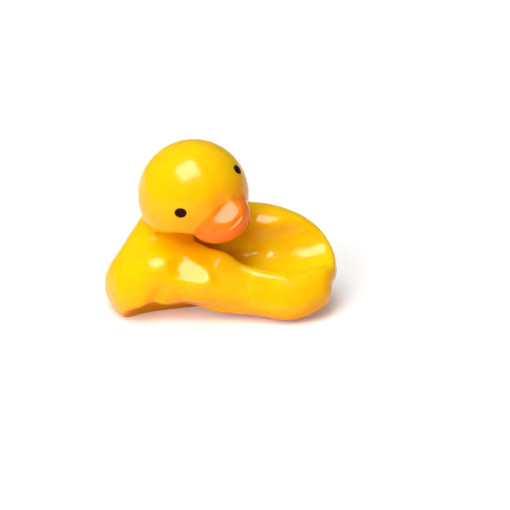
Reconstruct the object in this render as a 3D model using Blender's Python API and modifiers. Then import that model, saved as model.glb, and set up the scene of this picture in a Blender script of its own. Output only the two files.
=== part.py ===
"""Soft squeezed duck toy, moulded in one piece.

The toy keeps the shape that a squeeze gave it.  A long groove is pushed into it, from the
right end to under the head, so the near flank has rolled out in front, the far flank stands
up behind, and the head and bill lean over the closed end of the groove.  The underside of the
near flank is pressed into a hollow.

Metres, +Z up.  The length runs along X, the near flank faces -Y, and the origin is under the
middle of the toy's box, in the flat face that it rests on.
"""

import math

import bmesh
import bpy
from mathutils import Matrix, Vector

MM = 0.001

# Body: its length over both ends, and the distance between the middles of its two flanks
BODY_LENGTH = 90.4 * MM
FLANK_SPREAD = 30.0 * MM
BODY_MIDDLE_Y = -1.6 * MM

# Shoulder: the full round end that the neck rises from
SHOULDER_RADIUS = 14.6 * MM
SHOULDER_HEIGHT = 9.8 * MM
NECK_RADIUS = 13.2 * MM

# Groove along the back, closed under the head and open past the right end
GROOVE_TIP_RADIUS = 7.2 * MM
GROOVE_RADIUS = 9.0 * MM
GROOVE_MOUTH_RADIUS = 14.0 * MM
GROOVE_HEIGHT = 24.6 * MM

# Underbody: the middle of the full rounds below the groove
UNDERBODY_HEIGHT = 5.0 * MM

# Hollow under the near flank, and the furrow between shoulder and near flank
HOLLOW_RADIUS = 8.8 * MM
HOLLOW_HEIGHT = 5.4 * MM
FURROW_RADIUS = 3.4 * MM

# Head: its face is turned to the right, tips back and leans over to the left
HEAD_RADIUS = 21.3 * MM
HEAD_CENTRE = Vector((-10.4, -3.0, 45.4)) * MM
FACE_TURN = math.radians(25.7)
FACE_TIP = math.radians(-21.5)
FACE_LEAN = math.radians(-26.7)
CHIN_DENT_RADIUS = 12.8 * MM

# Bill: a broad soft wedge below the eye line, squeezed a little towards the near side
BILL_WIDTH = 23.8 * MM
BILL_DEPTH = 24.6 * MM
BILL_THICKNESS = 15.8 * MM
BILL_SHIFT = -0.9 * MM
BILL_REACH = 16.3 * MM
BILL_DROP = math.radians(43.5)
BILL_TILT = math.radians(27.0)

# Eyes: low ovals of thick paint, squeezed out of line with the face
EYE_LENGTH = 4.6 * MM
EYE_HEIGHT = 3.7 * MM
EYE_RAISE = 0.25 * MM
EYE_SPREAD = math.radians(42.7)
EYE_ROLL = math.radians(27.0)

# Flat face that the toy rests on: its edge is rounded by this much
BASE_ROUNDING = 0.35 * MM

# Fineness of the forms and of the skin over them, and how many times each is eased
FORM_VOXEL = 1.2 * MM
SKIN_VOXEL = 1.0 * MM
TOOL_EASING = 2
ROLL_EASING = 4
BODY_EASING = 12
HEAD_EASING = 22
SKIN_EASING = 5
KEPT_TRIANGLES = 0.15
BALL_SEGMENTS = 48
TUBE_ROUNDNESS = 10
CURVE_STEPS = 12
WELD = 0.01 * MM

# Finishes; the paint's reach and fade are shares of the bill's half sizes
SKIN_COLOUR = (1.0, 0.62, 0.0, 1.0)
BILL_COLOUR = (1.0, 0.2, 0.015, 1.0)
EYE_COLOUR = (0.02, 0.004, 0.003, 1.0)
GLOSS = 0.22
PAINT_REACH = 1.14
PAINT_FADE = 0.12


def along(share):
    """X at a share of the body's length, counted from the left end."""
    return (share - 0.5) * BODY_LENGTH


def across(share):
    """Y at a share of the flanks' spread: -1 is the near flank, 1 the far one."""
    return BODY_MIDDLE_Y + share * FLANK_SPREAD / 2


def head_frame():
    """The head's own frame: its far eye at +X, its face towards -Y, its top at +Z."""
    turn = Matrix.Rotation(FACE_TURN, 4, "Z")
    tip = Matrix.Rotation(FACE_TIP, 4, "X")
    lean = Matrix.Rotation(FACE_LEAN, 4, "Y")
    return Matrix.Translation(HEAD_CENTRE) @ turn @ tip @ lean


def bill_frame():
    """The bill's own frame, at the middle of its wedge."""
    middle = (BILL_SHIFT, -math.cos(BILL_DROP) * BILL_REACH, -math.sin(BILL_DROP) * BILL_REACH)
    return head_frame() @ Matrix.Translation(middle) @ Matrix.Rotation(BILL_TILT, 4, "X")


def bill_half_sizes():
    """Half sizes of the bill's wedge in its own frame."""
    return (BILL_WIDTH / 2, BILL_DEPTH / 2, BILL_THICKNESS / 2)


def new_collection(name):
    """A collection in the scene."""
    made = bpy.data.collections.new(name)
    bpy.context.scene.collection.children.link(made)
    return made


def mesh_object(name, form, collection):
    """An object that holds the form, which it uses up."""
    mesh = bpy.data.meshes.new(name)
    form.to_mesh(mesh)
    form.free()
    mesh.shade_smooth()
    made = bpy.data.objects.new(name, mesh)
    collection.objects.link(made)
    return made


def add_lump(form, centre, radii, frame=None):
    """Adds an ellipsoid to the form, placed and turned in the given frame."""
    place = (frame or Matrix.Identity(4)) @ Matrix.Translation(centre)
    bmesh.ops.create_uvsphere(
        form,
        u_segments=BALL_SEGMENTS,
        v_segments=BALL_SEGMENTS // 2,
        radius=1.0,
        matrix=place @ Matrix.Diagonal((*radii, 1.0)),
    )


def add_roll(form, stations):
    """Adds a round-ended roll to the form, through stations of x, y, z and radius."""
    curve = bpy.data.curves.new("roll", "CURVE")
    curve.dimensions = "3D"
    curve.bevel_depth = 1.0
    curve.bevel_resolution = TUBE_ROUNDNESS
    curve.resolution_u = CURVE_STEPS
    curve.use_fill_caps = True
    spline = curve.splines.new("BEZIER")
    spline.bezier_points.add(len(stations) - 1)
    for point, (x, y, z, radius) in zip(spline.bezier_points, stations):
        point.co = (x, y, z)
        point.radius = radius
        point.handle_left_type = point.handle_right_type = "AUTO"
    guide = bpy.data.objects.new("roll", curve)
    bpy.context.scene.collection.objects.link(guide)
    graph = bpy.context.evaluated_depsgraph_get()
    tube = bpy.data.meshes.new_from_object(guide.evaluated_get(graph))
    form.from_mesh(tube)
    bmesh.ops.remove_doubles(form, verts=form.verts, dist=WELD)
    bpy.data.objects.remove(guide)
    bpy.data.meshes.remove(tube)
    for x, y, z, radius in (stations[0], stations[-1]):
        add_lump(form, (x, y, z), (radius, radius, radius))


def add_skin(obj, voxel, passes):
    """Wraps the object's overlapping forms in one skin and eases its creases."""
    wrap = obj.modifiers.new("one_skin", "REMESH")
    wrap.mode = "VOXEL"
    wrap.voxel_size = voxel
    ease = obj.modifiers.new("ease", "SMOOTH")
    ease.iterations = passes


def add_boolean(obj, tool, operation):
    """Cuts the tool from the object, or joins it on, and returns the step."""
    step = obj.modifiers.new(f"{operation.lower()}_{tool.name}", "BOOLEAN")
    step.operation = operation
    step.solver = "EXACT"
    step.object = tool
    return step


def near_flank_crest():
    """The upper roll of the near flank, from the shoulder round to the right end."""
    return [
        (along(0.212), across(-0.40), 21.0 * MM, 9.2 * MM),
        (along(0.275), across(-0.50), 23.6 * MM, 7.3 * MM),
        (along(0.350), across(-0.56), 23.4 * MM, 5.9 * MM),
        (along(0.450), across(-0.75), 23.9 * MM, 4.6 * MM),
        (along(0.515), across(-0.84), 22.7 * MM, 4.2 * MM),
        (along(0.581), across(-0.92), 19.4 * MM, 3.7 * MM),
        (along(0.687), across(-1.06), 16.6 * MM, 3.6 * MM),
        (along(0.794), across(-1.08), 15.9 * MM, 3.7 * MM),
        (along(0.880), across(-0.72), 13.2 * MM, 6.4 * MM),
        (along(0.903), across(-0.16), 15.0 * MM, 8.3 * MM),
    ]


def near_flank_belly():
    """The lower roll of the near flank, which bulges forward under the crest."""
    return [
        (along(0.275), across(-0.92), 14.6 * MM, 7.8 * MM),
        (along(0.350), across(-0.98), 14.2 * MM, 7.2 * MM),
        (along(0.450), across(-1.00), 13.6 * MM, 6.9 * MM),
        (along(0.515), across(-0.99), 12.4 * MM, 6.8 * MM),
        (along(0.581), across(-0.98), 11.1 * MM, 6.6 * MM),
        (along(0.687), across(-1.02), 8.3 * MM, 6.5 * MM),
        (along(0.794), across(-1.07), 7.2 * MM, 7.1 * MM),
        (along(0.880), across(-0.71), 9.9 * MM, 8.2 * MM),
    ]


def near_flank_face():
    """Two rolls that fill the near flank's face, between its crest and its belly."""
    pairs = list(zip(near_flank_crest()[1:], near_flank_belly()))
    return [
        [tuple(high + (low - high) * share for high, low in zip(*pair)) for pair in pairs]
        for share in (1 / 3, 2 / 3)
    ]


def near_flank_core():
    """The mass behind the near flank's face, which the groove is pressed into."""
    return [
        (along(0.285), across(-0.40), 16.5 * MM, 9.5 * MM),
        (along(0.370), across(-0.50), 16.8 * MM, 9.0 * MM),
        (along(0.475), across(-0.63), 15.8 * MM, 8.5 * MM),
        (along(0.581), across(-0.70), 12.8 * MM, 8.0 * MM),
        (along(0.687), across(-0.72), 9.6 * MM, 8.0 * MM),
        (along(0.794), across(-0.60), 8.8 * MM, 8.0 * MM),
    ]


def haunch():
    """The lobe between the shoulder and the near flank."""
    return [
        (along(0.236), across(-0.60), 15.2 * MM, 12.4 * MM),
        (along(0.248), across(-0.61), 15.3 * MM, 12.4 * MM),
    ]


def far_flank():
    """The roll behind the groove, which stands up beside the head."""
    return [
        (along(0.262), across(0.62), 14.0 * MM, 17.2 * MM),
        (along(0.411), across(0.87), 20.0 * MM, 15.0 * MM),
        (along(0.556), across(0.97), 25.0 * MM, 12.0 * MM),
        (along(0.645), across(1.06), 25.3 * MM, 11.0 * MM),
        (along(0.734), across(0.93), 24.4 * MM, 10.8 * MM),
        (along(0.824), across(0.80), 21.8 * MM, 9.9 * MM),
        (along(0.883), across(0.50), 18.0 * MM, 8.9 * MM),
        (along(0.903), across(-0.05), 14.8 * MM, 8.3 * MM),
    ]


def shoulder():
    """The round left end and the neck that rises from it."""
    base_x = along(0) + SHOULDER_RADIUS
    return [
        (base_x, across(-0.16), SHOULDER_HEIGHT, SHOULDER_RADIUS),
        (HEAD_CENTRE.x - 7.2 * MM, HEAD_CENTRE.y + 9.0 * MM, HEAD_CENTRE.z - 15.1 * MM, NECK_RADIUS),
    ]


def left_end():
    """The roll across the left end, which the shoulder stands on."""
    base_x = along(0) + SHOULDER_RADIUS
    return [
        (base_x + 2.0 * MM, across(-0.46), SHOULDER_HEIGHT, SHOULDER_RADIUS),
        (base_x + 2.5 * MM, across(0.28), SHOULDER_HEIGHT - 1.0 * MM, SHOULDER_RADIUS),
    ]


def groove():
    """The groove, from its closed tip under the head out past the right end."""
    return [
        (along(0.285), across(0.06), GROOVE_HEIGHT + 0.8 * MM, GROOVE_TIP_RADIUS - 0.6 * MM),
        (along(0.410), across(-0.02), GROOVE_HEIGHT + 0.6 * MM, GROOVE_RADIUS - 1.3 * MM),
        (along(0.556), across(-0.24), GROOVE_HEIGHT + 0.8 * MM, GROOVE_RADIUS + 0.2 * MM),
        (along(0.690), across(-0.34), GROOVE_HEIGHT + 2.4 * MM, GROOVE_RADIUS + 1.8 * MM),
        (along(0.835), across(-0.25), GROOVE_HEIGHT + 3.4 * MM, GROOVE_RADIUS + 3.2 * MM),
        (along(1.125), across(0.10), GROOVE_HEIGHT + 12.0 * MM, GROOVE_MOUTH_RADIUS),
    ]


def under_hollow():
    """The hollow under the near flank."""
    low = HOLLOW_HEIGHT - HOLLOW_RADIUS
    return [
        (along(0.150), across(-1.22), low + 2.2 * MM, HOLLOW_RADIUS - 2.4 * MM),
        (along(0.195), across(-1.12), low + 3.2 * MM, HOLLOW_RADIUS - 0.6 * MM),
        (along(0.250), across(-0.98), low + 2.0 * MM, HOLLOW_RADIUS),
        (along(0.330), across(-0.80), low + 0.3 * MM, HOLLOW_RADIUS),
        (along(0.433), across(-0.62), low - 0.2 * MM, HOLLOW_RADIUS),
        (along(0.567), across(-0.83), low - 2.6 * MM, HOLLOW_RADIUS),
        (along(0.701), across(-1.23), low - 6.1 * MM, HOLLOW_RADIUS),
    ]


def fills():
    """Full rounds that close the body between its rolls: centre and half sizes."""
    return [
        (
            (along(0.175), across(-0.46), SHOULDER_HEIGHT - 1.9 * MM),
            (13.0 * MM, 11.5 * MM, 13.0 * MM),
        ),
        (
            (along(0.590), across(0.11), UNDERBODY_HEIGHT),
            (32.0 * MM, 19.0 * MM, 12.0 * MM),
        ),
        (
            (along(0.545), across(0.70), UNDERBODY_HEIGHT + 2.0 * MM),
            (34.0 * MM, 13.0 * MM, 14.0 * MM),
        ),
        (
            (along(0.720), across(0.00), UNDERBODY_HEIGHT + 6.0 * MM),
            (20.0 * MM, 12.0 * MM, 8.5 * MM),
        ),
        (
            (along(0.790), across(0.33), UNDERBODY_HEIGHT + 5.0 * MM),
            (16.0 * MM, 15.0 * MM, 11.5 * MM),
        ),
    ]


def furrow():
    """The furrow down the front, between the shoulder and the near flank."""
    return [
        (along(0.283), across(-1.14), 26.5 * MM, FURROW_RADIUS * 0.30),
        (along(0.281), across(-1.42), 21.0 * MM, FURROW_RADIUS * 0.40),
        (along(0.262), across(-1.55), 15.5 * MM, FURROW_RADIUS * 0.75),
        (along(0.236), across(-1.50), 10.5 * MM, FURROW_RADIUS),
        (along(0.217), across(-1.40), 5.0 * MM, FURROW_RADIUS),
    ]


def chin_dent():
    """The broad dent in the underside of the head and bill."""
    x, y, z = HEAD_CENTRE
    return [
        (x - 9.6 * MM, y - 5.0 * MM, z - 25.0 * MM, CHIN_DENT_RADIUS - 4.4 * MM),
        (x - 2.6 * MM, y - 9.5 * MM, z - 19.2 * MM, CHIN_DENT_RADIUS),
        (x + 6.4 * MM, y - 10.0 * MM, z - 24.4 * MM, CHIN_DENT_RADIUS),
        (x + 18.4 * MM, y - 10.0 * MM, z - 24.9 * MM, CHIN_DENT_RADIUS - 0.5 * MM),
        (x + 28.4 * MM, y - 9.0 * MM, z - 24.4 * MM, CHIN_DENT_RADIUS - 0.8 * MM),
    ]


def tool_from(name, stations, tools):
    """A clean closed solid round the stations, to cut with."""
    form = bmesh.new()
    add_roll(form, stations)
    tool = mesh_object(name, form, tools)
    add_skin(tool, FORM_VOXEL, TOOL_EASING)
    return tool


def make_head(tools):
    """The head and bill, with the chin dent taken out."""
    ball = bmesh.new()
    add_lump(ball, HEAD_CENTRE, (HEAD_RADIUS,) * 3)
    head = mesh_object("head", ball, tools)
    add_boolean(head, tool_from("chin_dent", chin_dent(), tools), "DIFFERENCE")
    wedge = bmesh.new()
    add_lump(wedge, (0.0, 0.0, 0.0), bill_half_sizes(), bill_frame())
    add_boolean(head, mesh_object("bill", wedge, tools), "UNION")
    add_skin(head, SKIN_VOXEL, HEAD_EASING)
    return head


def make_eyes(tools):
    """Two low ovals on the head."""
    form = bmesh.new()
    radii = (EYE_LENGTH / 2, 2 * EYE_RAISE, EYE_HEIGHT / 2)
    out = Matrix.Translation((0.0, EYE_RAISE - HEAD_RADIUS, 0.0))
    for side in (-1, 1):
        spread = Matrix.Rotation(side * EYE_SPREAD, 4, "Z")
        roll = Matrix.Rotation(EYE_ROLL, 4, "Y")
        add_lump(form, (0.0, 0.0, 0.0), radii, head_frame() @ spread @ out @ roll)
    eyes = mesh_object("eyes", form, tools)
    eyes.data.materials.append(finish("eye_paint", EYE_COLOUR))
    return eyes


def make_slab(name, top, tools):
    """A block whose top is at the given height, to cut the base flat."""
    side = 2 * BODY_LENGTH
    form = bmesh.new()
    place = Matrix.Translation((0.0, 0.0, top - side / 2)) @ Matrix.Scale(side, 4)
    bmesh.ops.create_cube(form, size=1.0, matrix=place)
    return mesh_object(name, form, tools)


def make_duck(toy, tools):
    """The toy: pressed body, then head and base, then a fine skin and the eyes."""
    form = bmesh.new()
    for stations in (
        near_flank_crest(),
        near_flank_belly(),
        *near_flank_face(),
        near_flank_core(),
        haunch(),
        far_flank(),
        left_end(),
        shoulder(),
    ):
        add_roll(form, stations)
    for centre, half_sizes in fills():
        add_lump(form, centre, half_sizes)
    duck = mesh_object("duck", form, toy)
    duck.data.materials.append(painted_skin(bill_guide(tools)))
    add_skin(duck, FORM_VOXEL, ROLL_EASING)
    for name, stations in (
        ("groove", groove()),
        ("under_hollow", under_hollow()),
        ("furrow", furrow()),
    ):
        add_boolean(duck, tool_from(name, stations, tools), "DIFFERENCE")
    add_skin(duck, FORM_VOXEL, BODY_EASING)
    add_boolean(duck, make_head(tools), "UNION")
    add_boolean(duck, make_slab("base_slab", -BASE_ROUNDING, tools), "DIFFERENCE")
    add_skin(duck, SKIN_VOXEL, SKIN_EASING)
    thin = duck.modifiers.new("thin_out", "DECIMATE")
    thin.ratio = KEPT_TRIANGLES
    add_boolean(duck, make_slab("rest_slab", 0.0, tools), "DIFFERENCE")
    eyes_on = add_boolean(duck, make_eyes(tools), "UNION")
    eyes_on.material_mode = "TRANSFER"
    return duck


def finish(name, colour):
    """A glossy soft plastic of one colour."""
    made = bpy.data.materials.new(name)
    made.use_nodes = True
    shader = made.node_tree.nodes["Principled BSDF"]
    shader.inputs["Base Color"].default_value = colour
    shader.inputs["Roughness"].default_value = GLOSS
    shader.inputs["Metallic"].default_value = 0.0
    return made


def bill_guide(tools):
    """An empty the size of the bill's wedge, which the orange paint is measured from."""
    guide = bpy.data.objects.new("bill_guide", None)
    tools.objects.link(guide)
    guide.matrix_basis = bill_frame() @ Matrix.Diagonal((*bill_half_sizes(), 1.0))
    return guide


def painted_skin(guide):
    """The yellow skin, sprayed orange over the bill with a soft edge."""
    made = finish("yellow_skin", SKIN_COLOUR)
    nodes = made.node_tree.nodes
    links = made.node_tree.links
    place = nodes.new("ShaderNodeTexCoord")
    place.object = guide
    reach = nodes.new("ShaderNodeVectorMath")
    reach.operation = "LENGTH"
    spray = nodes.new("ShaderNodeMapRange")
    spray.inputs["From Min"].default_value = PAINT_REACH - PAINT_FADE
    spray.inputs["From Max"].default_value = PAINT_REACH
    colour = nodes.new("ShaderNodeMix")
    colour.data_type = "RGBA"
    colour.inputs["A"].default_value = BILL_COLOUR
    colour.inputs["B"].default_value = SKIN_COLOUR
    links.new(place.outputs["Object"], reach.inputs[0])
    links.new(reach.outputs["Value"], spray.inputs["Value"])
    links.new(spray.outputs["Result"], colour.inputs["Factor"])
    links.new(colour.outputs["Result"], nodes["Principled BSDF"].inputs["Base Color"])
    return made


def centre_on_origin(objects):
    """Shifts the objects together, so that the first one's box is centred over the origin."""
    graph = bpy.context.evaluated_depsgraph_get()
    corners = [Vector(corner) for corner in objects[0].evaluated_get(graph).bound_box]
    middle = sum(corners, Vector()) / len(corners)
    origin = bpy.data.objects.new("toy_origin", None)
    bpy.context.scene.collection.objects.link(origin)
    for obj in objects:
        obj.parent = origin
    origin.location = (-middle.x, -middle.y, 0.0)


def main():
    """Builds the toy in an empty scene."""
    for obj in list(bpy.data.objects):
        bpy.data.objects.remove(obj, do_unlink=True)
    toy = new_collection("squeezed_duck_toy")
    tools = new_collection("cutters")
    tools.hide_render = True
    duck = make_duck(toy, tools)
    for tool in tools.objects:
        tool.hide_render = True
        tool.display_type = "WIRE"
    centre_on_origin([duck, *tools.objects])


main()
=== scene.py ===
"""Looks of a soft duck toy, moulded in one piece and kept in the shape that a squeeze gave it.

The skin is one closed mesh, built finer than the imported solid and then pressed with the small
creases, folds and dents that soft rubber takes.  The eyes are drops of dark enamel laid on the
skin, and the bill is paint sprayed on it.
"""

import logging
import math
from collections.abc import Sequence
from dataclasses import dataclass, field
from enum import Enum

import bmesh
import bpy
import numpy as np
from mathutils import Matrix, Vector, noise
from mathutils.bvhtree import BVHTree


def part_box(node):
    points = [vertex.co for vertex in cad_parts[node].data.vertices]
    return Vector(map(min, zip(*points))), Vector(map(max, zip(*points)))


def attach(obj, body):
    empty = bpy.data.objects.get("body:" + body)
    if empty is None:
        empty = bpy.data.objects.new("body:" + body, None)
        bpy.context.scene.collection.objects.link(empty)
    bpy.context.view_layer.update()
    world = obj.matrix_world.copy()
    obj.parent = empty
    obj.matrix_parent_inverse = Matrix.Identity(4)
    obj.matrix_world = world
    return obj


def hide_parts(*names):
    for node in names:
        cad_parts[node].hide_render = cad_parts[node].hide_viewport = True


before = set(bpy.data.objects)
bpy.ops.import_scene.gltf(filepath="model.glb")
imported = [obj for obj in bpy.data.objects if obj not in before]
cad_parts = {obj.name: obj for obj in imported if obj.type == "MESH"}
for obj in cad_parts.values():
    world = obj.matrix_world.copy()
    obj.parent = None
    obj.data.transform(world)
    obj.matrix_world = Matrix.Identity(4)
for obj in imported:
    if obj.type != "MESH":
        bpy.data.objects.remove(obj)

MM = 0.001
LOG = logging.getLogger("duck_toy")

Point = tuple[float, float, float]
Station = tuple[float, float, float, float]
Colour = tuple[float, float, float, float]

WHITE: Colour = (1.0, 1.0, 1.0, 1.0)
# The way that skin faces where the camera sees the softbox in it
TO_SOFTBOX: Point = (-0.105, -0.711, 0.695)


class Join(Enum):
    """What a tool does to the form that it meets."""

    CUT = "DIFFERENCE"
    FUSE = "UNION"


class Side(Enum):
    """The two sides of the face, as signs along the head's own X."""

    NEAR = -1
    FAR = 1


def millimetres(*sizes: float) -> Vector:
    """A point given in millimetres, as a vector in metres."""
    return Vector(sizes) * MM


def points_of(mesh: bpy.types.Mesh) -> np.ndarray:
    """Reads where a mesh's points are.

    Args:
        mesh: The mesh.

    Returns:
        One point to a row, in metres.
    """
    points = np.empty(3 * len(mesh.vertices), np.float32)
    mesh.vertices.foreach_get("co", points)
    return points.reshape(-1, 3)


@dataclass
class Bench:
    """The place where rough forms are put together, before they become a piece.

    Everything made here is cleared away at the end.
    """

    ball_segments: int = 48
    tube_roundness: int = 8
    curve_steps: int = 10
    weld: float = 0.01 * MM
    scraps: list[bpy.types.Object] = field(default_factory=list)

    def place(self, name: str, form: bmesh.types.BMesh) -> bpy.types.Object:
        """Puts a form on the bench as an object.

        Args:
            name: What the form is.
            form: The form, which is used up.

        Returns:
            The new object.
        """
        mesh = bpy.data.meshes.new(name)
        form.to_mesh(mesh)
        form.free()
        return self.lay(name, mesh)

    def lay(self, name: str, mesh: bpy.types.Mesh) -> bpy.types.Object:
        """Puts a mesh on the bench as an object.

        Args:
            name: What the mesh is.
            mesh: The mesh to show.

        Returns:
            The new object.
        """
        made = bpy.data.objects.new(name, mesh)
        bpy.context.scene.collection.objects.link(made)
        self.scraps.append(made)
        return made

    def ball(
        self, form: bmesh.types.BMesh, centre: Vector, radii: Point, frame: Matrix
    ) -> None:
        """Adds an ellipsoid to a form.

        Args:
            form: The form that it is added to.
            centre: Its centre in the given frame.
            radii: Its half sizes along the frame's axes.
            frame: The frame that places and turns it.
        """
        place = frame @ Matrix.Translation(centre) @ Matrix.Diagonal((*radii, 1.0))
        bmesh.ops.create_uvsphere(
            form,
            u_segments=self.ball_segments,
            v_segments=self.ball_segments // 2,
            radius=1.0,
            matrix=place,
        )

    def roll(self, form: bmesh.types.BMesh, stations: Sequence[Station]) -> None:
        """Adds a round-ended roll of changing thickness to a form.

        Args:
            form: The form that it is added to.
            stations: Points on its middle line, each with the roll's radius there.
        """
        curve = bpy.data.curves.new("roll", "CURVE")
        curve.dimensions = "3D"
        curve.bevel_depth = 1.0
        curve.bevel_resolution = self.tube_roundness
        curve.resolution_u = self.curve_steps
        curve.use_fill_caps = True
        spline = curve.splines.new("BEZIER")
        spline.bezier_points.add(len(stations) - 1)
        for point, (x, y, z, radius) in zip(spline.bezier_points, stations):
            point.co = (x, y, z)
            point.radius = radius
            point.handle_left_type = point.handle_right_type = "AUTO"
        guide = bpy.data.objects.new("roll", curve)
        bpy.context.scene.collection.objects.link(guide)
        graph = bpy.context.evaluated_depsgraph_get()
        tube = bpy.data.meshes.new_from_object(guide.evaluated_get(graph))
        form.from_mesh(tube)
        bmesh.ops.remove_doubles(form, verts=form.verts, dist=self.weld)
        bpy.data.objects.remove(guide)
        bpy.data.meshes.remove(tube)
        for x, y, z, radius in (stations[0], stations[-1]):
            self.ball(form, Vector((x, y, z)), (radius,) * 3, Matrix.Identity(4))

    def skin(self, obj: bpy.types.Object, voxel: float, reach: float) -> None:
        """Wraps an object's overlapping forms in one skin and eases its creases.

        Args:
            obj: The object to wrap.
            voxel: How fine the skin is.
            reach: How far the easing reaches, whatever the fineness.
        """
        wrap = obj.modifiers.new("one_skin", "REMESH")
        wrap.mode = "VOXEL"
        wrap.voxel_size = voxel
        ease = obj.modifiers.new("ease", "SMOOTH")
        ease.iterations = max(1, round((reach / voxel) ** 2))

    def join(self, obj: bpy.types.Object, tool: bpy.types.Object, how: Join) -> None:
        """Cuts a closed tool from an object, or fuses the two.

        Args:
            obj: The object that changes.
            tool: The object that is cut away or added.
            how: Whether it is cut away or added.
        """
        step = obj.modifiers.new(f"{how.name.lower()}_{tool.name}", "BOOLEAN")
        step.operation = how.value
        step.solver = "MANIFOLD"
        step.object = tool

    def settle(self, obj: bpy.types.Object) -> bpy.types.Object:
        """Makes an object's steps final.

        Args:
            obj: The object, which is left as it was.

        Returns:
            A new object that holds the finished mesh.
        """
        graph = bpy.context.evaluated_depsgraph_get()
        mesh = bpy.data.meshes.new_from_object(obj.evaluated_get(graph))
        return self.lay(obj.name, mesh)

    def clear(self) -> None:
        """Takes every rough form off the bench."""
        for scrap in self.scraps:
            bpy.data.objects.remove(scrap)
        self.scraps.clear()


@dataclass
class DuckHead:
    """The round head with its broad soft bill."""

    radius: float = 21.3 * MM
    centre: Vector = field(default_factory=lambda: millimetres(-10.4, -3.0, 45.4))
    turn: float = math.radians(25.7)
    tip: float = math.radians(-21.5)
    lean: float = math.radians(-26.7)
    chin_radius: float = 12.8 * MM
    chin_easing: float = 1.6 * MM
    bill_width: float = 23.8 * MM
    bill_depth: float = 24.6 * MM
    bill_thickness: float = 15.8 * MM
    bill_shift: float = -0.9 * MM
    bill_reach: float = 16.3 * MM
    bill_drop: float = math.radians(43.5)
    bill_tilt: float = math.radians(27.0)
    paint_reach: float = 1.11
    paint_corner: Vector = field(default_factory=lambda: millimetres(6.2, -18.9, 48.7))
    paint_corner_radius: float = 2.6 * MM
    easing: float = 4.7 * MM

    def frame(self) -> Matrix:
        """The head's own frame.

        Returns:
            The frame: far eye at +X, face towards -Y, top at +Z.
        """
        turn = Matrix.Rotation(self.turn, 4, "Z")
        tip = Matrix.Rotation(self.tip, 4, "X")
        lean = Matrix.Rotation(self.lean, 4, "Y")
        return Matrix.Translation(self.centre) @ turn @ tip @ lean

    def bill_frame(self) -> Matrix:
        """The bill's own frame.

        Returns:
            The frame, at the middle of the bill's wedge.
        """
        forward = -math.cos(self.bill_drop) * self.bill_reach
        down = -math.sin(self.bill_drop) * self.bill_reach
        middle = Matrix.Translation((self.bill_shift, forward, down))
        return self.frame() @ middle @ Matrix.Rotation(self.bill_tilt, 4, "X")

    def bill_half_sizes(self) -> Point:
        """Half sizes of the bill's wedge in its own frame."""
        return (self.bill_width / 2, self.bill_depth / 2, self.bill_thickness / 2)

    def chin_dent(self) -> list[Station]:
        """The broad dent under the head and the bill.

        Returns:
            The stations of the roll that presses it.
        """
        x, y, z = self.centre
        radius = self.chin_radius
        return [
            (x - 9.6 * MM, y - 5.0 * MM, z - 25.0 * MM, radius - 4.4 * MM),
            (x - 2.6 * MM, y - 9.5 * MM, z - 19.2 * MM, radius),
            (x + 6.4 * MM, y - 10.0 * MM, z - 24.4 * MM, radius),
            (x + 18.4 * MM, y - 10.0 * MM, z - 24.9 * MM, radius - 0.5 * MM),
            (x + 28.4 * MM, y - 9.0 * MM, z - 24.4 * MM, radius - 0.8 * MM),
        ]

    def paint_depth(self, spot: Vector) -> float:
        """How deep a spot of the skin lies inside the bill's paint.

        The paint covers the bill's wedge, and a small corner where it runs up to the face.

        Args:
            spot: The spot in the rough forms' frame.

        Returns:
            The depth in millimetres, less than zero outside the paint.
        """
        half = self.bill_half_sizes()
        near = self.bill_frame().inverted() @ spot
        share = math.sqrt(sum((near[axis] / half[axis]) ** 2 for axis in range(3)))
        in_bill = (self.paint_reach - share) * half[2]
        in_corner = self.paint_corner_radius - (spot - self.paint_corner).length
        return max(in_bill, in_corner) / MM

    def build(self, bench: Bench, voxel: float) -> bpy.types.Object:
        """Builds the head with its bill.

        Args:
            bench: Where the rough forms are made.
            voxel: How fine its skin is.

        Returns:
            The head, as a rough form on the bench.
        """
        ball = bmesh.new()
        bench.ball(ball, self.centre, (self.radius,) * 3, Matrix.Identity(4))
        head = bench.place("head", ball)
        dent = bmesh.new()
        bench.roll(dent, self.chin_dent())
        dent_tool = bench.place("chin_dent", dent)
        bench.skin(dent_tool, voxel, self.chin_easing)
        bench.join(head, dent_tool, Join.CUT)
        wedge = bmesh.new()
        bench.ball(wedge, Vector(), self.bill_half_sizes(), self.bill_frame())
        bench.join(head, bench.place("bill", wedge), Join.FUSE)
        bench.skin(head, voxel, self.easing)
        return head


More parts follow.
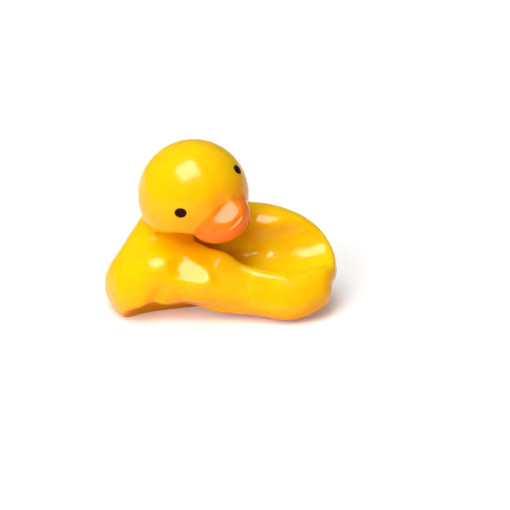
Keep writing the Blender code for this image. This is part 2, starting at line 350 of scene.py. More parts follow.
@dataclass
class PressedBody:
    """The body, with a long groove pressed into its back and flanks rolled up on both sides."""

    length: float = 90.4 * MM
    flank_spread: float = 30.0 * MM
    middle_y: float = -1.6 * MM
    shoulder_radius: float = 14.6 * MM
    shoulder_height: float = 9.8 * MM
    neck_radius: float = 13.2 * MM
    neck_offset: Vector = field(default_factory=lambda: millimetres(-7.2, 9.0, -15.1))
    groove_tip_radius: float = 7.2 * MM
    groove_radius: float = 9.0 * MM
    groove_mouth_radius: float = 14.0 * MM
    groove_height: float = 24.6 * MM
    underbody_height: float = 5.0 * MM
    hollow_radius: float = 8.8 * MM
    hollow_height: float = 5.4 * MM
    furrow_radius: float = 3.4 * MM
    roll_easing: float = 2.4 * MM
    tool_easing: float = 1.7 * MM
    easing: float = 4.2 * MM

    def at(self, along: float, across: float, height: float, radius: float) -> Station:
        """A station of a roll.

        Args:
            along: Share of the body's length, from its left end.
            across: Share of the flanks' spread: -1 is the near flank, 1 the far one.
            height: Height in millimetres.
            radius: The roll's radius there in millimetres.

        Returns:
            The station in metres.
        """
        x = (along - 0.5) * self.length
        y = self.middle_y + across * self.flank_spread / 2
        return (x, y, height * MM, radius * MM)

    def near_crest(self) -> list[Station]:
        """The upper roll of the near flank, round to the right end.

        Returns:
            Its stations.
        """
        return [
            self.at(0.212, -0.20, 21.0, 9.2),
            self.at(0.275, -0.36, 22.0, 8.6),
            self.at(0.350, -0.45, 21.2, 7.5),
            self.at(0.400, -0.44, 21.3, 6.7),
            self.at(0.450, -0.46, 21.3, 6.0),
            self.at(0.515, -0.73, 22.2, 4.8),
            self.at(0.581, -0.84, 19.0, 3.7),
            self.at(0.687, -1.03, 16.5, 3.6),
            self.at(0.794, -0.97, 15.4, 3.9),
            self.at(0.880, -0.72, 13.2, 6.4),
            self.at(0.903, -0.16, 15.0, 8.3),
        ]

    def near_brow(self) -> list[Station]:
        """The roll between the near flank's crest and its belly, nearly flat to the front.

        Returns:
            Its stations.
        """
        return [
            self.at(0.275, -0.71, 17.0, 8.8),
            self.at(0.350, -0.78, 17.2, 7.8),
            self.at(0.400, -0.77, 17.6, 6.7),
            self.at(0.450, -0.85, 16.6, 6.2),
            self.at(0.515, -0.84, 13.6, 6.0),
            self.at(0.581, -0.88, 12.0, 5.9),
            self.at(0.687, -1.03, 10.6, 5.6),
            self.at(0.794, -1.07, 11.6, 5.4),
            self.at(0.880, -0.71, 11.6, 7.3),
        ]

    def near_face(self) -> list[list[Station]]:
        """Rolls halfway between the near flank's crest, brow and belly.

        Returns:
            The stations of each roll.
        """
        rolls = (self.near_crest()[1:], self.near_brow(), self.near_belly())
        return [
            [tuple((high + low) / 2 for high, low in zip(*pair)) for pair in zip(upper, lower)]
            for upper, lower in zip(rolls, rolls[1:])
        ]

    def near_belly(self) -> list[Station]:
        """The lower roll of the near flank, which bulges forward.

        Returns:
            Its stations.
        """
        return [
            self.at(0.275, -0.86, 14.9, 8.4),
            self.at(0.350, -0.89, 14.7, 8.0),
            self.at(0.400, -1.00, 13.7, 6.8),
            self.at(0.450, -0.96, 13.4, 7.2),
            self.at(0.515, -0.99, 12.4, 6.8),
            self.at(0.581, -0.98, 11.1, 6.6),
            self.at(0.687, -1.02, 8.3, 6.5),
            self.at(0.794, -1.07, 7.2, 7.1),
            self.at(0.880, -0.71, 9.9, 8.2),
        ]

    def flank_core(self) -> list[Station]:
        """The mass behind the near flank's rolls, which the groove is pressed into.

        Returns:
            Its stations.
        """
        return [
            self.at(0.285, -0.40, 16.5, 9.5),
            self.at(0.370, -0.50, 16.8, 9.0),
            self.at(0.475, -0.63, 15.8, 8.5),
            self.at(0.581, -0.70, 12.8, 8.0),
            self.at(0.687, -0.72, 9.6, 8.0),
            self.at(0.794, -0.60, 8.8, 8.0),
        ]

    def haunch(self) -> list[Station]:
        """The lobe between the shoulder and the near flank, in two stations."""
        return [self.at(0.236, -0.60, 15.2, 12.4), self.at(0.248, -0.61, 15.3, 12.4)]

    def far_flank(self) -> list[Station]:
        """The roll behind the groove.

        Returns:
            Its stations.
        """
        return [
            self.at(0.262, 0.62, 14.0, 17.2),
            self.at(0.411, 0.87, 20.0, 15.0),
            self.at(0.556, 0.97, 25.0, 12.0),
            self.at(0.645, 1.06, 25.3, 11.0),
            self.at(0.734, 0.93, 24.4, 10.8),
            self.at(0.824, 0.80, 21.8, 9.9),
            self.at(0.883, 0.50, 18.0, 8.9),
            self.at(0.903, -0.05, 14.8, 8.3),
        ]

    def left_end(self) -> list[Station]:
        """The roll across the left end.

        Returns:
            Its stations.
        """
        x = self.shoulder_radius - self.length / 2
        near = self.middle_y - 0.23 * self.flank_spread
        far = self.middle_y + 0.14 * self.flank_spread
        height = self.shoulder_height
        return [
            (x + 2.0 * MM, near, height, self.shoulder_radius),
            (x + 2.5 * MM, far, height - 1.0 * MM, self.shoulder_radius),
        ]

    def shoulder(self, head: DuckHead) -> list[Station]:
        """The round left end and the neck that rises from it to the head.

        Args:
            head: The head, which the neck reaches to.

        Returns:
            Its stations.
        """
        x = self.shoulder_radius - self.length / 2
        y = self.middle_y - 0.08 * self.flank_spread
        neck = head.centre + self.neck_offset
        return [(x, y, self.shoulder_height, self.shoulder_radius), (*neck, self.neck_radius)]

    def fills(self) -> list[tuple[Vector, Point]]:
        """Full rounds that close the body between its rolls.

        Returns:
            The centre and the half sizes of each.
        """
        low = self.underbody_height / MM
        rounds = (
            (self.at(0.175, -0.46, self.shoulder_height / MM - 1.9, 0.0), (13.0, 11.5, 13.0)),
            (self.at(0.590, 0.11, low, 0.0), (32.0, 19.0, 12.0)),
            (self.at(0.545, 0.70, low + 2.0, 0.0), (34.0, 13.0, 14.0)),
            (self.at(0.720, 0.00, low + 6.0, 0.0), (20.0, 12.0, 8.5)),
            (self.at(0.790, 0.33, low + 5.0, 0.0), (16.0, 15.0, 11.5)),
        )
        return [(Vector(place[:3]), tuple(size * MM for size in sizes)) for place, sizes in rounds]

    def groove(self) -> list[Station]:
        """The groove along the back, from its closed tip under the head past the right end.

        Returns:
            Its stations.
        """
        high = self.groove_height / MM
        wide = self.groove_radius / MM
        return [
            self.at(0.285, 0.06, high + 0.8, self.groove_tip_radius / MM - 0.6),
            self.at(0.410, 0.19, high + 0.6, wide - 2.4),
            self.at(0.556, -0.18, high + 0.8, wide + 0.2),
            self.at(0.690, -0.34, high + 2.4, wide + 1.8),
            self.at(0.835, -0.25, high + 3.4, wide + 3.2),
            self.at(1.125, 0.10, high + 12.0, self.groove_mouth_radius / MM),
        ]

    def under_hollow(self) -> list[Station]:
        """The hollow under the near flank.

        Returns:
            Its stations.
        """
        wide = self.hollow_radius / MM
        low = self.hollow_height / MM - wide
        return [
            self.at(0.150, -1.22, low + 2.2, wide - 2.4),
            self.at(0.195, -1.12, low + 3.2, wide - 0.6),
            self.at(0.250, -0.98, low + 2.0, wide),
            self.at(0.330, -0.80, low + 0.3, wide),
            self.at(0.433, -0.62, low - 0.2, wide),
            self.at(0.567, -0.83, low - 2.6, wide),
            self.at(0.701, -1.23, low - 6.1, wide),
        ]

    def furrow(self) -> list[Station]:
        """The furrow down the front, between the shoulder and the near flank.

        Returns:
            Its stations.
        """
        wide = self.furrow_radius / MM
        return [
            self.at(0.283, -1.14, 26.5, 0.30 * wide),
            self.at(0.281, -1.42, 21.0, 0.40 * wide),
            self.at(0.262, -1.55, 15.5, 0.75 * wide),
            self.at(0.236, -1.50, 10.5, wide),
            self.at(0.217, -1.40, 5.0, wide),
        ]

    def build(self, bench: Bench, head: DuckHead, voxel: float) -> bpy.types.Object:
        """Builds the body without its head.

        Args:
            bench: Where the rough forms are made.
            head: The head, which the neck reaches to.
            voxel: How fine its skin is.

        Returns:
            The body, as a rough form on the bench.
        """
        form = bmesh.new()
        for stations in (
            self.near_crest(),
            self.near_brow(),
            self.near_belly(),
            *self.near_face(),
            self.flank_core(),
            self.haunch(),
            self.far_flank(),
            self.left_end(),
            self.shoulder(head),
        ):
            bench.roll(form, stations)
        for centre, half_sizes in self.fills():
            bench.ball(form, centre, half_sizes, Matrix.Identity(4))
        body = bench.place("body", form)
        bench.skin(body, voxel, self.roll_easing)
        for name, stations in (
            ("groove", self.groove()),
            ("under_hollow", self.under_hollow()),
            ("furrow", self.furrow()),
        ):
            cut = bmesh.new()
            bench.roll(cut, stations)
            tool = bench.place(name, cut)
            bench.skin(tool, voxel, self.tool_easing)
            bench.join(body, tool, Join.CUT)
        bench.skin(body, voxel, self.easing)
        return body


def nearest_spot(spots: np.ndarray, point: Point) -> np.ndarray:
    """Finds where a point given in millimetres meets the skin.

    Args:
        spots: Points on the skin in metres, one to a row.
        point: The point in millimetres.

    Returns:
        The nearest spot.
    """
    gap = spots - np.array(point) * MM
    return spots[np.argmin((gap**2).sum(axis=1))]


@dataclass(frozen=True)
class Crease:
    """A narrow valley pressed into the skin, with a soft lip on both sides.

    It is a ridge where its depth is less than zero.  Its points are in millimetres.
    """

    points: tuple[Point, ...]
    depth: float
    width: float
    lip: float
    lip_place: float = 2.0
    end_fade: float = 0.04

    def press(self, spots: np.ndarray, outward: np.ndarray) -> np.ndarray:
        """How the crease moves each spot of the skin.

        Args:
            spots: Points on the skin in metres, one to a row.
            outward: The skin's normals there.

        Returns:
            One move to a row.
        """
        line = np.array([nearest_spot(spots, point) for point in self.points])
        runs = np.diff(line, axis=0)
        lengths = np.linalg.norm(runs, axis=1)
        nearest = np.full(len(spots), np.inf)
        fade = np.ones(len(spots))
        for index, (start, run, length) in enumerate(zip(line, runs, lengths)):
            share = np.clip((spots - start) @ run / length**2, 0.0, 1.0)
            gap = np.linalg.norm(spots - start - share[:, None] * run, axis=1)
            closer = gap < nearest
            nearest[closer] = gap[closer]
            way = (lengths[:index].sum() + share[closer] * length) / lengths.sum()
            inner = self.end_fade + (1.0 - 2.0 * self.end_fade) * way
            fade[closer] = np.sqrt(np.sin(math.pi * inner))
        valley = np.exp(-((nearest / self.width) ** 2))
        lips = np.exp(-(((nearest - self.lip_place * self.width) / self.width) ** 2))
        return outward * (fade * (self.lip * lips - self.depth * valley))[:, None]


@dataclass(frozen=True)
class Dent:
    """A soft round dent.  Its centre is in millimetres."""

    centre: Point
    radius: float
    depth: float

    def press(self, spots: np.ndarray, outward: np.ndarray) -> np.ndarray:
        """How the dent moves each spot of the skin.

        Args:
            spots: Points on the skin in metres, one to a row.
            outward: The skin's normals there.

        Returns:
            One move to a row.
        """
        gap = np.linalg.norm(spots - np.array(self.centre) * MM, axis=1)
        return outward * (-self.depth * np.exp(-((gap / self.radius) ** 2)))[:, None]


@dataclass(frozen=True)
class Flat:
    """A round or long place where the skin is nearly flat, with a dish in its middle.

    Its centre is in millimetres, and so is its reach, half of a long place's middle line.
    """

    centre: Point
    facing: Point
    radius: float
    dish: float = 0.0
    strength: float = 1.0
    reach: Point = (0.0, 0.0, 0.0)

    def press(self, spots: np.ndarray, outward: np.ndarray) -> np.ndarray:
        """How the flat place moves each spot of the skin.

        Args:
            spots: Points on the skin in metres, one to a row.
            outward: The skin's normals there.

        Returns:
            One move to a row.
        """
        facing = np.array(self.facing) / np.linalg.norm(self.facing)
        gap = spots - nearest_spot(spots, self.centre)
        height = gap @ facing
        reach = np.array(self.reach) * MM
        # A round place has no reach, so the divisor is kept above zero
        along = np.clip(gap @ reach / max(reach @ reach, MM**2), -1.0, 1.0)
        share = np.linalg.norm(gap - along[:, None] * reach, axis=1) / self.radius
        hold = self.strength * np.exp(-(share**4)) * (outward @ facing > 0.0)
        target = -self.dish * np.clip(1.0 - share**2, 0.0, 1.0)
        return facing * (hold * (target - height))[:, None]


@dataclass(frozen=True)
class Waver:
    """The slight unevenness that a soft moulding has when it is pressed."""

    height: float = 0.09 * MM
    size: float = 13.0 * MM

    def press(self, spots: np.ndarray, outward: np.ndarray) -> np.ndarray:
        """How the unevenness moves each spot of the skin.

        Args:
            spots: Points on the skin in metres, one to a row.
            outward: The skin's normals there.

        Returns:
            One move to a row.
        """
        wave = [self.height * noise.noise(Vector(spot) / self.size) for spot in spots]
        return outward * np.array(wave)[:, None]


Mark = Crease | Dent | Flat | Waver


def small_marks() -> tuple[Mark, ...]:
    """The small marks on the toy's skin, in the order in which they are pressed.

    Returns:
        The marks.
    """
    bill_shine = Flat(
        (3.4, -22.0, 45.4),
        facing=TO_SOFTBOX,
        radius=5.7 * MM,
        dish=0.12 * MM,
        strength=0.88,
    )
    haunch_shine = Flat(
        (-10.4, -20.4, 20.5),
        facing=TO_SOFTBOX,
        radius=4.8 * MM,
        dish=0.2 * MM,
        strength=0.9,
        reach=(3.6, -1.6, -1.1),
    )
    crest_slope = Flat(
        (3.4, -19.1, 18.4),
        facing=(0.10, -0.85, 0.52),
        radius=3.8 * MM,
        strength=0.65,
        reach=(4.2, -0.75, -1.5),
    )
    bill_rim = Flat(
        (5.8, -24.4, 41.1),
        facing=(-0.20, -0.60, 0.78),
        radius=1.3 * MM,
        reach=(1.8, 1.5, 2.1),
    )
    haunch_crease = Crease(
        ((-19.2, -17.6, 25.0), (-18.9, -18.9, 23.2), (-19.0, -20.2, 21.0)),
        depth=0.18 * MM,
        width=0.7 * MM,
        lip=0.06 * MM,
    )
    end_crease = Crease(
        ((-41.3, -12.9, 16.9), (-41.4, -14.0, 14.6), (-41.2, -15.1, 12.2)),
        depth=0.16 * MM,
        width=0.8 * MM,
        lip=0.05 * MM,
    )
    base_ridge = Crease(
        ((-39.2, -15.6, 5.6), (-36.6, -17.8, 5.4), (-33.8, -19.3, 5.4)),
        depth=-0.16 * MM,
        width=0.8 * MM,
        lip=-0.08 * MM,
    )
    haunch_dent = Dent((-24.5, -22.3, 14.9), radius=4.5 * MM, depth=0.5 * MM)
    shines = (bill_shine, haunch_shine, crest_slope, bill_rim)
    return (Waver(), *shines, haunch_crease, end_crease, base_ridge, haunch_dent)


@dataclass
class DuckSkin:
    """The toy's one moulding, from the rough forms to the finished skin.

    Once it is built, its shift is the move from the rough forms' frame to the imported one.
    """

    body: PressedBody
    head: DuckHead
    form_voxel: float = 0.8 * MM
    skin_voxel: float = 0.56 * MM
    skin_easing: float = 2.2 * MM
    base_rounding: float = 0.35 * MM
    base_hold: float = 1.5 * MM
    marks: tuple[Mark, ...] = field(default_factory=small_marks)
    shift: Vector = field(default_factory=Vector, init=False)

    def slab(self, bench: Bench, top: float) -> bpy.types.Object:
        """Makes a block that cuts the base flat.

        Args:
            bench: Where the block is made.
            top: The height of its top.

        Returns:
            The block, as a rough form on the bench.
        """
        side = 2 * self.body.length
        form = bmesh.new()
        place = Matrix.Translation((0.0, 0.0, top - side / 2)) @ Matrix.Scale(side, 4)
        bmesh.ops.create_cube(form, size=1.0, matrix=place)
        return bench.place("slab", form)

    def press_marks(self, mesh: bpy.types.Mesh) -> None:
        """Presses the small marks into the skin, but not into the base.

        Args:
            mesh: The skin, still in the rough forms' frame.
        """
        spots = points_of(mesh).astype(float)
        outward = np.empty(spots.size, np.float32)
        mesh.vertex_normals.foreach_get("vector", outward)
        outward = outward.reshape(-1, 3).astype(float)
        hold = np.clip(spots[:, 2] / self.base_hold, 0.0, 1.0)[:, None]
        for mark in self.marks:
            spots += hold * mark.press(spots, outward)
        mesh.vertices.foreach_set("co", spots.astype(np.float32).ravel())

    def spray_paint(self, mesh: bpy.types.Mesh) -> None:
        """Notes on the skin how deep each spot lies inside the bill's paint.

        Args:
            mesh: The skin, still in the rough forms' frame.
        """
        depth = [self.head.paint_depth(vertex.co) for vertex in mesh.vertices]
        attribute = mesh.attributes.new("paint_depth", "FLOAT", "POINT")
        attribute.data.foreach_set("value", depth)

    def build(self, bench: Bench) -> bpy.types.Object:
        """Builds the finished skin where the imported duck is.

        Args:
            bench: Where the rough forms are made.

        Returns:
            The finished piece.
        """
        body = self.body.build(bench, self.head, self.form_voxel)
        bench.join(body, self.head.build(bench, self.form_voxel), Join.FUSE)
        bench.join(body, self.slab(bench, -self.base_rounding), Join.CUT)
        bench.skin(body, self.skin_voxel, self.skin_easing)
        whole = bench.settle(body)
        self.press_marks(whole.data)
        bench.join(whole, self.slab(bench, 0.0), Join.CUT)
        graph = bpy.context.evaluated_depsgraph_get()
        mesh = bpy.data.meshes.new_from_object(whole.evaluated_get(graph))
        self.spray_paint(mesh)
        self.shift = self.shift_to_frame(mesh)
        mesh.transform(Matrix.Translation(self.shift))
        mesh.shade_smooth()
        mesh.materials.clear()
        mesh.name = "duck_skin"
        skin = bpy.data.objects.new("duck_skin", mesh)
        bpy.context.scene.collection.objects.link(skin)
        return skin

    def shift_to_frame(self, mesh: bpy.types.Mesh) -> Vector:
        """The move that brings the middle of the skin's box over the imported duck's.

        Args:
            mesh: The skin in the rough forms' frame.

        Returns:
            The move, which is level.
        """
        spots = points_of(mesh)
        low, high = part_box("duck")
        move = (low + high - Vector(spots.min(0)) - Vector(spots.max(0))) / 2
        return Vector((move.x, move.y, 0.0))


@dataclass
class EnamelEye:
    """One eye: a low oval drop of dark enamel on the skin.

    The rays that find the skin start away from the head's middle, by ray_start times its radius.
    """

    side: Side
    head: DuckHead
    length: float = 4.6 * MM
    height: float = 3.7 * MM
    crown: float = 0.32 * MM
    rim: float = 0.04 * MM
    root: float = 0.5 * MM
    spread: float = math.radians(42.7)
    roll: float = math.radians(27.0)
    ray_start: float = 1.5
    rings: int = 14
    segments: int = 56

    def frame(self, shift: Vector) -> Matrix:
        """The eye's own frame.

        Args:
            shift: The move from the head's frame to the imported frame.

        Returns:
            The frame: its middle in the head's middle, and the eye out towards -Y.
        """
        turn = Matrix.Rotation(self.side.value * self.spread, 4, "Z")
        roll = Matrix.Rotation(self.roll, 4, "Y")
        return Matrix.Translation(shift) @ self.head.frame() @ turn @ roll

    def ring_points(self, ring: int, skin: BVHTree, frame: Matrix) -> list[Vector]:
        """The points of one of the drop's rings, from its crown at 0 to its rim.

        Args:
            ring: Which ring it is.
            skin: The skin that the drop lies on.
            frame: The eye's own frame.

        Returns:
            The points, or the one point of the crown.
        """
        share = ring / self.rings
        lift = self.rim + (self.crown - self.rim) * math.sqrt(max(0.0, 1.0 - share**4))
        inward = frame.col[1].to_3d().normalized()
        points = []
        for step in range(self.segments if ring else 1):
            angle = math.tau * step / self.segments
            x = share * math.cos(angle) * self.length / 2
            z = share * math.sin(angle) * self.height / 2
            start = frame @ Vector((x, -self.ray_start * self.head.radius, z))
            hit = skin.ray_cast(start, inward)[0]
            points.append(hit - inward * lift)
        return points

    def build(self, skin: bpy.types.Object, shift: Vector) -> bpy.types.Object:
        """Lays the drop on the skin.

        Args:
            skin: The finished skin.
            shift: The move from the head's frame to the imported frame.

        Returns:
            The finished piece.
        """
        tree = BVHTree.FromObject(skin, bpy.context.evaluated_depsgraph_get())
        frame = self.frame(shift)
        inward = frame.col[1].to_3d().normalized()
        form = bmesh.new()
        shell = []
        for ring in range(self.rings + 1):
            points = self.ring_points(ring, tree, frame)
            shell.append([form.verts.new(point) for point in points])
        hidden = [form.verts.new(vertex.co + inward * self.root) for vertex in shell[-1]]
        shell.append(hidden)
        for step in range(self.segments):
            after = (step + 1) % self.segments
            form.faces.new((shell[0][0], shell[1][step], shell[1][after]))
            for inner, outer in zip(shell[1:-1], shell[2:]):
                form.faces.new((inner[step], outer[step], outer[after], inner[after]))
        form.faces.new(hidden)
        bmesh.ops.recalc_face_normals(form, faces=form.faces)
        mesh = bpy.data.meshes.new(f"{self.side.name.lower()}_eye")
        form.to_mesh(mesh)
        form.free()
        mesh.shade_smooth()
        eye = bpy.data.objects.new(mesh.name, mesh)
        bpy.context.scene.collection.objects.link(eye)
        return eye


class Board:
    """A new material's nodes, with short ways to add and link them."""

    def __init__(self, name: str) -> None:
        """Starts a material.

        Args:
            name: The material's name.
        """
        self.material = bpy.data.materials.new(name)
        self.material.use_nodes = True
        self.nodes = self.material.node_tree.nodes
        self.shader = self.nodes["Principled BSDF"]

    def add(self, kind: str, inputs: dict[str | int, object], **settings: object) -> bpy.types.Node:
        """Adds a node.

        Args:
            kind: The node's type.
            inputs: Values for its sockets, or the sockets that they come from.
            settings: Values for its own settings.

        Returns:
            The new node.
        """
        node = self.nodes.new(kind)
        for name, value in settings.items():
            setattr(node, name, value)
        self.feed(node, inputs)
        return node

    def feed(self, node: bpy.types.Node, inputs: dict[str | int, object]) -> None:
        """Sets or links a node's sockets.

        Args:
            node: The node.
            inputs: Values for its sockets, or the sockets that they come from.
        """
        for name, value in inputs.items():
            if isinstance(value, bpy.types.NodeSocket):
                self.material.node_tree.links.new(value, node.inputs[name])
            else:
                node.inputs[name].default_value = value

    def place(self) -> bpy.types.NodeSocket:
        """The socket that gives each spot's place in metres."""
        return self.add("ShaderNodeTexCoord", {}).outputs["Object"]

    def noise(
        self, place: bpy.types.NodeSocket, scale: float, detail: float
    ) -> bpy.types.NodeSocket:
        """Adds soft noise.

        Args:
            place: The socket that gives each spot's place.
            scale: How many waves go on a metre.
            detail: How many finer waves lie on each of them.

        Returns:
            The socket of its height, about 0.5 on average.
        """
        inputs = {"Vector": place, "Scale": scale, "Detail": detail}
        return self.add("ShaderNodeTexNoise", inputs).outputs["Fac"]

    def ramp(
        self,
        value: bpy.types.NodeSocket,
        start: tuple[float, float],
        end: tuple[float, float],
        shape: str = "LINEAR",
    ) -> bpy.types.NodeSocket:
        """Maps a value to a ramp that is level at both ends.

        Args:
            value: The value's socket.
            start: The value at the ramp's start, and what it becomes.
            end: The value at the ramp's end, and what it becomes.
            shape: The ramp's shape, as Blender names it.

        Returns:
            The mapped value's socket.
        """
        inputs = {
            "Value": value,
            "From Min": start[0],
            "To Min": start[1],
            "From Max": end[0],
            "To Max": end[1],
        }
        return self.add("ShaderNodeMapRange", inputs, interpolation_type=shape).outputs["Result"]

    def work_out(self, operation: str, *values: object) -> bpy.types.NodeSocket:
        """Works out a number.

        Args:
            operation: What is done with the values, as Blender names it.
            values: The values, or the sockets that they come from.

        Returns:
            The number's socket.
        """
        inputs = dict(enumerate(values))
        return self.add("ShaderNodeMath", inputs, operation=operation).outputs[0]

    def bump(
        self, height: bpy.types.NodeSocket, strength: float, distance: float
    ) -> bpy.types.NodeSocket:
        """Turns a height into the look of small bumps.

        Args:
            height: The height's socket.
            strength: How much of the bumps shows.
            distance: How far a height of 1 stands out.

        Returns:
            The bumped normal's socket.
        """
        inputs = {"Height": height, "Strength": strength, "Distance": distance}
        return self.add("ShaderNodeBump", inputs).outputs["Normal"]

    def mix(self, factor: object, one: object, two: object) -> bpy.types.NodeSocket:
        """Mixes two colours.

        Args:
            factor: How much of the second one.
            one: The first colour, or the socket that it comes from.
            two: The second colour, or the socket that it comes from.

        Returns:
            The mixed colour's socket.
        """
        node = self.nodes.new("ShaderNodeMix")
        node.data_type = "RGBA"
        colours = [at for at, socket in enumerate(node.inputs) if socket.type == "RGBA"]
        self.feed(node, {0: factor, colours[0]: one, colours[1]: two})
        return next(socket for socket in node.outputs if socket.type == "RGBA")


@dataclass(frozen=True)
class SoftRubber:
    """Glossy translucent rubber, sprayed orange over the bill, with painted shade in its folds.

    Reaches and fades of the spray, and the reach of the painted warm light around it, are in
    millimetres of paint depth, as the skin notes it, and scales are in waves to the metre.
    """

    yellow: Colour = (1.0, 0.59, 0.0, 1.0)
    deep_yellow: Colour = (1.0, 0.56, 0.0, 1.0)
    orange: Colour = (1.0, 0.27, 0.012, 1.0)
    deep_orange: Colour = (1.0, 0.22, 0.01, 1.0)
    # Painted shade: deeper oranges that are mixed in where ambient occlusion finds folds, creases
    # and the gap under the bill
    painted_shade_yellow: Colour = (1.0, 0.30, 0.0, 1.0)
    painted_shade_orange: Colour = (1.0, 0.10, 0.0, 1.0)
    painted_shade_reach: float = 6.0 * MM
    painted_shade_start: float = 0.55
    painted_shade_samples: int = 8
    cloud_scale: float = 45.0
    # Painted warm light: an orange tint that fades out over this reach around the bill's paint,
    # standing in for light bounced onto the face
    painted_bounce: float = 0.3
    painted_bounce_reach: float = 8.0
    spray_scale: float = 2600.0
    spray_ragged: float = 0.45
    spray_fade: float = 0.7
    roughness: float = 0.18
    smear: float = 0.05
    smear_scale: float = 260.0
    smear_range: tuple[float, float] = (0.35, 0.65)
    grain_scale: float = 420.0
    grain_strength: float = 0.35
    grain_height: float = 0.25 * MM
    refraction: float = 1.5
    specular: float = 0.22
    glow: float = 0.7
    glow_reach: float = 6.0 * MM
    glow_tint: Point = (1.0, 0.28, 0.05)

    def colour(self, board: Board, place: bpy.types.NodeSocket) -> bpy.types.NodeSocket:
        """Paints the skin yellow, with painted shade of deeper orange in its folds and creases, and
        sprays the bill orange.

        Args:
            board: The material's nodes.
            place: The socket that gives each spot's place.

        Returns:
            The colour's socket.
        """
        cloud = board.noise(place, self.cloud_scale, detail=2.0)
        # Painted shade: ambient occlusion tints the skin and the bill deeper orange in folds and
        # creases
        shade = board.add(
            "ShaderNodeAmbientOcclusion", {"Distance": self.painted_shade_reach}, samples=self.painted_shade_samples
        )
        openness = board.ramp(shade.outputs["AO"], (0.0, 0.0), (self.painted_shade_start, 1.0))
        paint = board.add("ShaderNodeAttribute", {}, attribute_name="paint_depth").outputs["Fac"]
        spray = board.noise(place, self.spray_scale, detail=1.0)
        ragged = board.work_out("MULTIPLY_ADD", spray, 2.0 * self.spray_ragged, -self.spray_ragged)
        edge = board.work_out("ADD", paint, ragged)
        cover = board.ramp(
            edge, (-self.spray_fade, 0.0), (self.spray_fade, 1.0), shape="SMOOTHSTEP"
        )
        # Painted warm light: orange that fades out around the bill's paint, where bounced light
        # warms the face
        painted_bounce_tint = board.ramp(
            paint, (-self.painted_bounce_reach, 0.0), (0.0, self.painted_bounce), shape="SMOOTHSTEP"
        )
        skin = board.mix(cloud, self.yellow, self.deep_yellow)
        skin = board.mix(openness, self.painted_shade_yellow, skin)
        skin = board.mix(painted_bounce_tint, skin, self.orange)
        bill = board.mix(cloud, self.orange, self.deep_orange)
        bill = board.mix(openness, self.painted_shade_orange, bill)
        return board.mix(cover, skin, bill)

    def make(self) -> bpy.types.Material:
        """Makes the material.

        Returns:
            The material.
        """
        board = Board("soft_yellow_rubber")
        place = board.place()
        smear = board.noise(place, self.smear_scale, detail=4.0)
        low, high = self.smear_range
        rough = board.ramp(
            smear, (low, self.roughness - self.smear), (high, self.roughness + self.smear)
        )
        grain = board.noise(place, self.grain_scale, detail=3.0)
        board.feed(
            board.shader,
            {
                "Base Color": self.colour(board, place),
                "Roughness": rough,
                "Normal": board.bump(grain, self.grain_strength, self.grain_height),
                "IOR": self.refraction,
                "Specular IOR Level": self.specular,
                "Subsurface Weight": self.glow,
                "Subsurface Scale": self.glow_reach,
                "Subsurface Radius": self.glow_tint,
            },
        )
        return board.material


@dataclass(frozen=True)
class DarkEnamel:
    """The eyes' glossy brown-black enamel."""

    black: Colour = (0.010, 0.001, 0.001, 1.0)
    brown: Colour = (0.045, 0.005, 0.003, 1.0)
    roughness: float = 0.3
    specular: float = 0.06
    cloud_scale: float = 350.0
    bump_strength: float = 0.1
    bump_height: float = 0.05 * MM

    def make(self) -> bpy.types.Material:
        """Makes the material.

        Returns:
            The material.
        """
        board = Board("dark_enamel")
        cloud = board.noise(board.place(), self.cloud_scale, detail=2.0)
        board.feed(
            board.shader,
            {
                "Base Color": board.mix(cloud, self.black, self.brown),
                "Roughness": self.roughness,
                "Specular IOR Level": self.specular,
                "Normal": board.bump(cloud, self.bump_strength, self.bump_height),
            },
        )
        return board.material


@dataclass(frozen=True)
class PaleFloor:
    """A matt white floor that reads as white when it is seen, and keeps the shadow.

    The light that it throws back on the toy is warm.
    """

    white: Colour = (0.90, 0.90, 0.90, 1.0)
    bright_white: Colour = (0.92, 0.92, 0.92, 1.0)
    bounce: Colour = (0.92, 0.52, 0.32, 1.0)
    lift: float = 0.14
    roughness: float = 0.9
    cloud_scale: float = 30.0

    def make(self) -> bpy.types.Material:
        """Makes the material.

        Returns:
            The material.
        """
        board = Board("pale_floor")
        cloud = board.noise(board.place(), self.cloud_scale, detail=3.0)
        pale = board.mix(cloud, self.white, self.bright_white)
        path = board.add("ShaderNodeLightPath", {}).outputs
        seen = board.work_out("MAXIMUM", path["Is Camera Ray"], path["Is Glossy Ray"])
        seen = board.work_out("MAXIMUM", seen, path["Is Transmission Ray"])
        board.feed(
            board.shader,
            {
                "Base Color": board.mix(seen, self.bounce, pale),
                "Roughness": self.roughness,
                "Specular IOR Level": 0.0,
                "Emission Color": WHITE,
                "Emission Strength": board.work_out("MULTIPLY", seen, self.lift),
            },
        )
        return board.material


@dataclass(frozen=True)
class Lamp:
    """A square soft lamp that faces the toy."""

    name: str
    direction: Point
    distance: float
    side: float
    power: float
    turn: float = 0.0
    mirrored: bool = True
    lights_up: bool = True

    def hang(self, aim: Vector) -> None:
        """Hangs the lamp.

        Args:
            aim: The point that it faces.
        """
        light = bpy.data.lights.new(self.name, "AREA")
        light.shape = "SQUARE"
        light.size = self.side
        light.energy = self.power
        box = bpy.data.objects.new(self.name, light)
        box.visible_glossy = self.mirrored
        box.visible_diffuse = self.lights_up
        bpy.context.scene.collection.objects.link(box)
        away = Vector(self.direction).normalized()
        box.location = aim + away * self.distance
        face = away.to_track_quat("Z", "Y").to_matrix().to_4x4()
        box.rotation_euler = (face @ Matrix.Rotation(self.turn, 4, "Z")).to_euler()


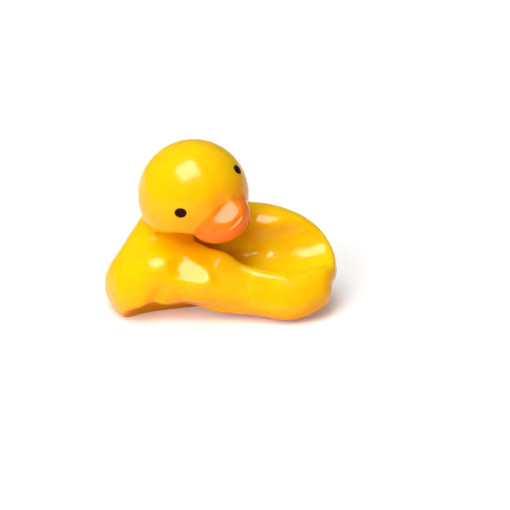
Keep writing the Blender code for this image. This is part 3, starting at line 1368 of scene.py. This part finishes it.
def studio_lamps() -> tuple[Lamp, ...]:
    """A large softbox from the front above, and two soft fills that gloss doesn't show.

    The sparkle hangs just in front of the softbox and lights nothing: it makes the softbox
    brighter where gloss mirrors it.

    Returns:
        The lamps.
    """
    above_front = (-0.17, -0.35, 0.92)
    box_turn = math.radians(52.0)
    return (
        Lamp("softbox", above_front, distance=10.0, side=6.5, power=640.0, turn=box_turn),
        Lamp(
            "sparkle",
            above_front,
            distance=9.9,
            side=6.4,
            power=1180.0,
            turn=box_turn,
            lights_up=False,
        ),
        Lamp(
            "front_fill",
            (-0.48, -0.76, 0.44),
            distance=8.0,
            side=5.0,
            power=430.0,
            mirrored=False,
        ),
        Lamp("top_fill", (0.0, 0.35, 0.94), distance=8.0, side=5.0, power=120.0, mirrored=False),
    )


@dataclass
class Studio:
    """A pale floor, soft lamps, an even sky, and a camera."""

    aim: Vector = field(default_factory=lambda: millimetres(13.2, -0.1, 20.0))
    camera_distance: float = 0.8
    camera_height_angle: float = math.radians(20.0)
    lens: float = 146.8
    sky: float = 0.14
    floor_side: float = 12.0
    floor_gap: float = 0.02 * MM
    near_limit: float = 0.01
    far_limit: float = 50.0
    lamps: tuple[Lamp, ...] = field(default_factory=studio_lamps)

    def floor(self) -> None:
        """Lays the floor just under the toy."""
        form = bmesh.new()
        bmesh.ops.create_grid(form, x_segments=1, y_segments=1, size=self.floor_side / 2)
        mesh = bpy.data.meshes.new("floor")
        form.to_mesh(mesh)
        form.free()
        mesh.materials.append(PaleFloor().make())
        floor = bpy.data.objects.new("floor", mesh)
        floor.location.z = -self.floor_gap
        bpy.context.scene.collection.objects.link(floor)

    def sky_light(self) -> None:
        """Surrounds the toy with soft light."""
        world = bpy.data.worlds.new("studio")
        world.use_nodes = True
        bpy.context.scene.world = world
        background = world.node_tree.nodes["Background"]
        background.inputs["Color"].default_value = WHITE
        background.inputs["Strength"].default_value = self.sky

    def camera(self) -> None:
        """Puts up the camera at the picture's viewing angle."""
        data = bpy.data.cameras.new("camera")
        data.lens = self.lens
        data.clip_start = self.near_limit
        data.clip_end = self.far_limit
        camera = bpy.data.objects.new("camera", data)
        bpy.context.scene.collection.objects.link(camera)
        angle = self.camera_height_angle
        away = Vector((0.0, -math.cos(angle), math.sin(angle)))
        camera.location = self.aim + away * self.camera_distance
        camera.rotation_euler = away.to_track_quat("Z", "Y").to_euler()
        bpy.context.scene.camera = camera

    def build(self) -> None:
        """Sets up the whole studio."""
        bpy.context.scene.view_settings.view_transform = "Standard"
        self.floor()
        for lamp in self.lamps:
            lamp.hang(self.aim)
        self.sky_light()
        self.camera()


def report(piece: bpy.types.Object) -> None:
    """Logs a finished piece's size.

    Args:
        piece: The piece.
    """
    piece.data.calc_loop_triangles()
    size = [round(side / MM, 1) for side in piece.dimensions]
    LOG.info("%s: %d triangles, %s mm", piece.name, len(piece.data.loop_triangles), size)


def main() -> None:
    """Builds the toy and its studio, and notes its size."""
    logging.basicConfig(level=logging.INFO, format="%(name)s: %(message)s")
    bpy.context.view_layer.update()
    Studio().build()
    bench = Bench()
    head = DuckHead()
    maker = DuckSkin(PressedBody(), head)
    skin = maker.build(bench)
    skin.data.materials.append(SoftRubber().make())
    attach(skin, "root")
    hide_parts("duck")
    report(skin)
    bench.clear()
    enamel = DarkEnamel().make()
    for side in Side:
        eye = EnamelEye(side, head).build(skin, maker.shift)
        eye.data.materials.append(enamel)
        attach(eye, "root")
        report(eye)


if __name__ == "__main__":
    main()
